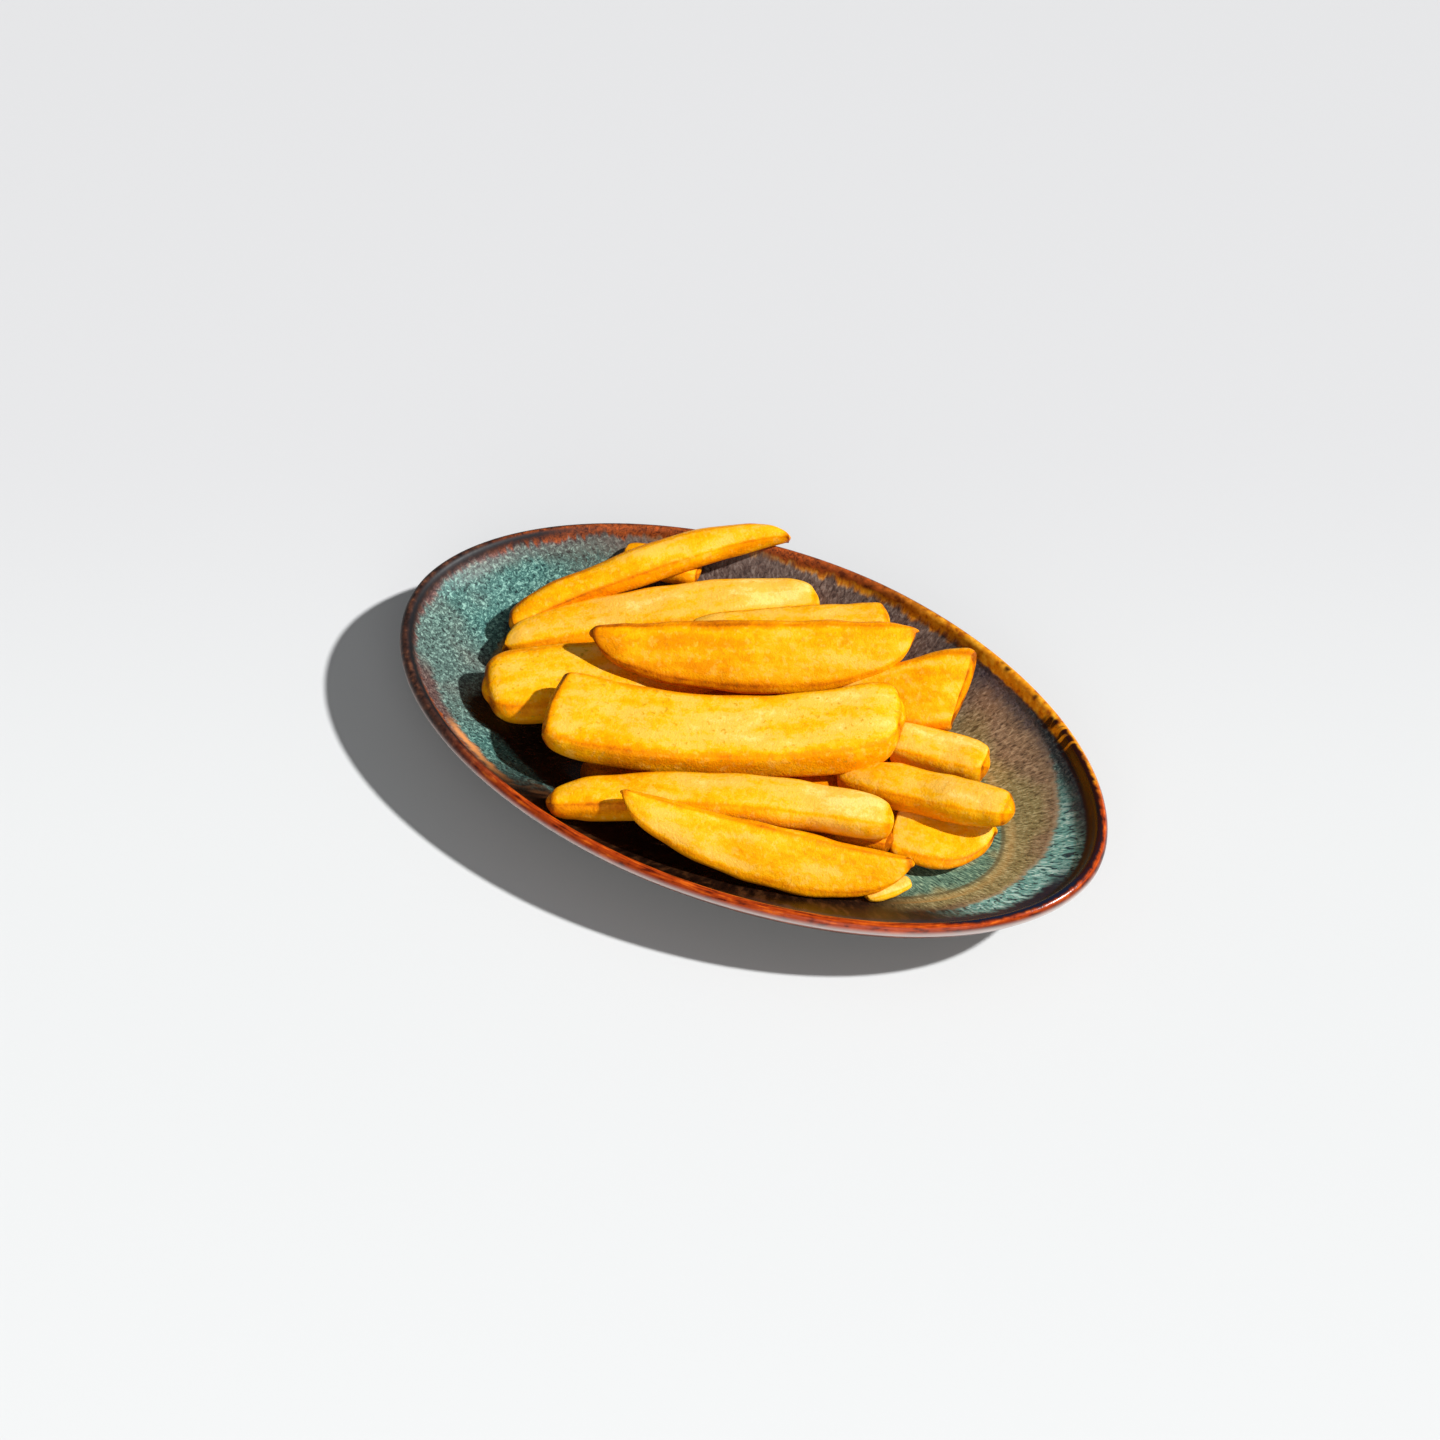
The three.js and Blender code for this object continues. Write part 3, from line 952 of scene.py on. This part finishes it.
# %% Roughen a fry, then rest it on the dish
LUMP_SIZE = 13
LUMP_HEIGHT = 1.0
DIMPLE_SIZE = 3.4
DIMPLE_HEIGHT = 0.22
NOISE_STEP_X = 17.3
NOISE_STEP_Y = 5.1


def roughen(shape, points, number, lumps=1):
    """Pushes each point in or out a little, in lumps and finer dimples. The number picks the
    part of the noise that they come from, so that no two fries are alike."""
    shape.normal_update()
    shift = Vector((NOISE_STEP_X * number, NOISE_STEP_Y * number, 0))
    moves = []
    for point in points:
        lump = noise.noise((point.co + shift) / LUMP_SIZE) * LUMP_HEIGHT * lumps
        dimple = noise.noise((point.co - shift) / DIMPLE_SIZE) * DIMPLE_HEIGHT
        moves.append(point.normal * (lump + dimple))
    for point, move in zip(points, moves):
        point.co += move


def rest_on_dish(points):
    """Lifts what is below the dish's surface, and turns millimetres into metres."""
    for point in points:
        point.co.z = max(point.co.z, dish_height(point.co.x, point.co.y))
        point.co *= MM


# %% Build several fries as one mesh
def build_fries(fries, first_number):
    shape = bmesh.new()
    for _ in fries:
        shape.from_mesh(blank)
    layers = {name: shape.verts.layers.float.new(name) for name in CRUST_LAYERS}
    layers["cut"] = shape.verts.layers.float_vector.new("cut")
    shape.verts.ensure_lookup_table()
    count = len(blank.vertices)
    for i, named in enumerate(fries.values()):
        fry = {**PLAIN_FRY, **named}
        points = shape.verts[i * count : (i + 1) * count]
        bend(points, layers, fry)
        roughen(shape, points, first_number + i, fry["lumps"])
        rest_on_dish(points)
    bmesh.ops.recalc_face_normals(shape, faces=shape.faces)
    return shape


# %% [markdown]
# ## The crust
#
# Fried potato is pale yellow on its cut faces and orange brown along its edges and at its
# tips, where it dries first. Its upright sides are golden, partly by browning and partly as
# painted shade, and it is painted darker towards the bottom. The surface is satin, finely
# pitted, and a little light passes through it, which keeps its shaded sides warm.

# %% Crust colours
PALE = shade(244, 202, 108)
CREAM = shade(240, 180, 66)
STRAW = shade(240, 172, 22)
YELLOW = shade(240, 164, 3)
GOLD = shade(232, 144, 1)
ORANGE = shade(206, 112, 2)
BROWN = shade(132, 60, 3)
PIT = shade(188, 140, 26)

# %% What browns the crust, and where shade is painted on it
# Each layer darkens it from its first value on, in full from its second, by its third. The edge
# and tip layers are browning. The side layer is partly browning and partly painted shade on the
# upright sides, and the low layer makes the crust darker towards the bottom.
BROWNING_AND_SHADE = {
    "side": (0.38, 0.66, 0.7),
    "edge": (0.7, 1.0, 0.5),
    "low": (0.3, 1.0, 0.15),
    "tip": (0.95, 0.998, 0.8),
}

# Each colour starts at one degree of browning and painted shade, is in full at the next, and covers
# that much
CRUST_STEPS = [
    (CREAM, -0.8, -0.25, 1),
    (STRAW, -0.15, 0.2, 1),
    (YELLOW, 0.15, 0.5, 1),
    (GOLD, 0.4, 0.9, 1),
    (ORANGE, 0.9, 1.7, 1),
    (BROWN, 1.5, 2.2, 0.8),
]
PATCHES_BROWN = 0.9
MOTTLE_BROWNS = 0.5
PORES_BROWN = 0.3
CRUMBS_ON_PALE = (0.6, 1.2)
CRUMB_STRENGTH = 0.55
CRUST_ROUGHNESS = 0.4
MOTTLE_ROUGHENS = 0.3
CRUST_RELIEF = 0.2


# %% The crust
def crust():
    potato = Finish(
        "fried_potato", IOR=1.4, Specular_IOR_Level=0.06,
        Subsurface_Weight=0.1, Subsurface_Scale=0.003, Subsurface_Radius=(1.0, 0.5, 0.1),
    )
    place = potato.place()
    along_cut = potato.attribute("cut", out="Vector")
    patches = potato.grain(along_cut, size=6, detail=3).rise(0.28, 0.72)
    mottle = potato.grain(place, size=3.2, detail=4, roughness=0.7).rise(0.3, 0.7)
    crumbs = potato.grain(place, size=2.2, detail=3).rise(0.54, 0.66)
    pores = potato.grain(place, size=0.8, detail=3, roughness=0.7)
    pits = potato.grain(place, size=1.6, detail=2).rise(0.63, 0.7)

    gold = potato.attribute("tone")
    for layer, (start, end, strength) in BROWNING_AND_SHADE.items():
        gold = gold + potato.attribute(layer).rise(start, end) * strength
    gold = gold + (patches - 0.5) * PATCHES_BROWN + (mottle - 0.5) * MOTTLE_BROWNS
    gold = gold + (pores - 0.5) * PORES_BROWN
    colour = PALE
    for paint, start, end, strength in CRUST_STEPS:
        colour = potato.mix(gold.rise(start, end) * strength, colour, paint)
    pale_crumbs = crumbs * gold.fall(*CRUMBS_ON_PALE) * CRUMB_STRENGTH
    colour = potato.mix(pale_crumbs, colour, CREAM)
    colour = potato.mix(pits * potato.attribute("pits"), colour, PIT)

    roughness = CRUST_ROUGHNESS + (mottle - 0.5) * MOTTLE_ROUGHENS
    height = mottle * 0.55 + pores * 0.45 - pits * 0.2
    return potato.show(colour, roughness, height, CRUST_RELIEF)


potato_crust = crust()
print("crust nodes", len(potato_crust.node_tree.nodes))

# %% [markdown]
# ## The heap
#
# The fries are named by where they lie, and each is given by the two points where its tips are.
# They are kept in three pieces by how they were cut: bars with square ends, wedges off the
# potato's side that taper like a canoe, and small scraps.

# %% The part of the noise that each piece's lumps start from
FIRST_NUMBER = {"bar_fries": 1, "wedge_fries": 20, "fry_scraps": 30, "heap_core": 50}


def add_fries(name, fries):
    shape = build_fries(fries, FIRST_NUMBER[name])
    add_piece(name, shape, potato_crust, "fries", levels=1)


# %% Bars
BARS = {
    "front_curved": {
        "from": (-32.2, -67, 27.3), "to": (62.5, -14, 25), "width": 17, "tips": (0.4, 0.55),
        "thin": (0.5, 0.8), "fullness": 4, "bow": -6, "tones": (0.65, -0.7),
    },
    "right_long": {
        "from": (32.5, -1, 18), "to": (91.5, 8.5, 26), "width": 15, "thick": 12,
        "tips": (0.15, 0.6), "thin": (0.3, 0.7), "fullness": 4, "near_edge": 0.75,
        "tones": (0.35, -0.3),
    },
    "right_stub": {
        "from": (39, 22.5, 16.5), "to": (72, 30, 16.5), "width": 16, "tips": (0.7, 0.5),
        "fullness": 4, "tones": (-0.35, -0.05),
    },
    "right_fan": {
        "from": (16.5, 27.5, 20), "to": (52.5, 49.5, 25), "width": 31, "ends": (0.4, 1),
        "tips": (0.8, 0.7), "fullness": 4, "roll": 35, "slant": (0, -4.5),
        "squareness": 3.6, "tones": (0.15, 0.3),
    },
    "centre_slab": {
        "from": (-52.2, -36.8, 33.2), "to": (43.8, 24.3, 29.6), "width": 26.2, "thick": 11,
        "ends": (1.2, 1.18), "tips": (0.72, 0.4), "thin": (0.8, 0.6), "fullness": 9,
        "waist": 0.15, "roll": 11, "bow": 8.7, "slant": (-3, 0), "squareness": 9,
        "lumps": 0.5, "flare": 0.1, "depths": (0.65, 1.08), "tones": (0.2, -0.15), "pits": 0.7,
    },
    # Painted shade: the fries low in the heap get a browner tone
    "centre_low": {
        "from": (-37, -42, 15.7), "to": (24.5, -8.5, 15.7), "width": 16, "tones": (2.0, 1.7),
    },
    "left_slab": {
        "from": (-80.4, -34, 23), "to": (-14.5, 30, 17), "width": 27, "thick": 12,
        "ends": (1.12, 0.95), "tips": (0.36, 0.6), "thin": (0.4, 0.8), "fullness": 7, "roll": 10,
        "squareness": 2.5, "tones": (0.15, 0.15), "pits": 0.7, "lumps": 0.4,
    },
    "back_short": {
        "from": (-34.5, 18, 28), "to": (16.5, 59.5, 28.5), "width": 17, "thick": 10,
        "tones": (0.25, 0.0),
    },
    "back_long": {
        "from": (-88, -13.5, 18), "to": (-8.5, 58.5, 22.3), "width": 20.5,
        "tips": (0.15, 0.5), "fullness": 3.6, "lean": 0.6, "arch": 2.5, "tones": (0.2, -0.6),
    },
    # Painted shade: the hidden fries under the heap get a browner tone
    "under_centre": {
        "from": (-10, -6, 16.7), "to": (34, 17, 16.7), "thick": 13, "tones": (1.2, 1.2),
    },
    "under_back": {
        "from": (-4, 42, 16.2), "to": (20, 52, 20.2), "width": 14, "tones": (1.2, 1.2),
    },
}
add_fries("bar_fries", BARS)

# %% Wedges
WEDGES = {
    "front_wedge": {
        "from": (-9.5, -58.5, 38.7), "to": (74, -21, 20.7), "width": 20, "ends": (0.8, 1.08),
        "tips": (0.12, 0.12), "thin": (0.35, 0.3), "fullness": 2.2, "lean": -0.95,
        "keel": 0.6, "roll": 36, "near_edge": 0.4, "tones": (0.15, 0.3),
    },
    "top_wedge": {
        "from": (-58.9, -3.3, 37.2), "to": (31.4, 53.2, 38.6), "width": 25, "thick": 12,
        "ends": (0.88, 1.05), "tips": (0.17, 0.1), "thin": (0.5, 0.3), "fullness": 2.25,
        "lean": -0.82, "keel": 0.4, "roll": 36, "arch": 0.8, "near_edge": 0.5, "tones": (0.95, 0.1),
    },
    "rim_wedge": {
        "from": (-89.6, -4, 17.9), "to": (-29.5, 74, 30.6), "width": 12.4, "thick": 8.6,
        "ends": (1.05, 1), "tips": (0.5, 0.15), "fullness": 2.6, "lean": 1.25, "arch": 2,
        "flare": 0.2, "roll": 20, "squareness": 2.5, "tones": (0.5, 0.0),
    },
    "right_slab": {
        "from": (55.5, -1, 14.7), "to": (86, 10, 13.6), "width": 23, "thick": 10,
        "ends": (1.1, 0.9), "tips": (0.7, 0.1), "thin": (0.8, 0.6), "fullness": 2.3,
        "lean": -0.8, "near_edge": 0.45, "tones": (0.1, 0.2),
    },
}
add_fries("wedge_fries", WEDGES)

# %% Scraps
SCRAPS = {
    "front_sliver": {
        "from": (34.5, -24, 16), "to": (62.5, -15, 16.5), "width": 10, "thick": 8,
        "tones": (0.9, 0.9),
    },
    "front_scrap": {
        "from": (65, -35.5, 12.2), "to": (73.5, -22, 12.2), "width": 7, "thick": 2.2,
        "tips": (0.3, 0.4), "thin": (0.5, 0.5), "fullness": 3, "tones": (-0.2, -0.2),
        "lumps": 0.3,
    },
    "back_stub": {
        "from": (-78, 43, 23.5), "to": (-51.5, 51.5, 23), "width": 13, "thick": 6,
        "fullness": 6, "tones": (0.7, 0.4),
    },
}
add_fries("fry_scraps", SCRAPS)

# %% [markdown]
# ### The core
#
# The bottom of the heap is out of sight. One low mound of the same crust fills it, so that no
# gap between the fries looks through to nothing. It is painted browner than the fries on top, as
# painted shade in the gaps.

# %% Core
CORE_LENGTH = 112
CORE_WIDTH = 62
CORE_TOP = 20.5
CORE_STEPS_AROUND = 64
CORE_STEPS_UP = 32
# Painted shade: the core is browner than the fries above it, and half its side layer applies
CORE_SHADED_TONE = 1.3
CORE_SIDE = 0.5


def build_core():
    """A ball whose upper half is stretched to a mound and whose lower half is pressed flat."""
    shape = bmesh.new()
    layers = {name: shape.verts.layers.float.new(name) for name in CRUST_LAYERS}
    bmesh.ops.create_uvsphere(
        shape, u_segments=CORE_STEPS_AROUND, v_segments=CORE_STEPS_UP, radius=1
    )
    floor_height = WELL_HEIGHT + CLEARANCE
    for point in shape.verts:
        point[layers["tone"]] = CORE_SHADED_TONE
        point[layers["side"]] = CORE_SIDE
        point.co.x *= CORE_LENGTH / 2
        point.co.y *= CORE_WIDTH / 2
        point.co.z = floor_height + max(point.co.z, 0) * (CORE_TOP - WELL_HEIGHT)
    roughen(shape, shape.verts, FIRST_NUMBER["heap_core"])
    for point in shape.verts:
        point.co.z = max(point.co.z, floor_height)
        point.co *= MM
    return shape


add_piece("heap_core", build_core(), potato_crust, "fries", levels=0)
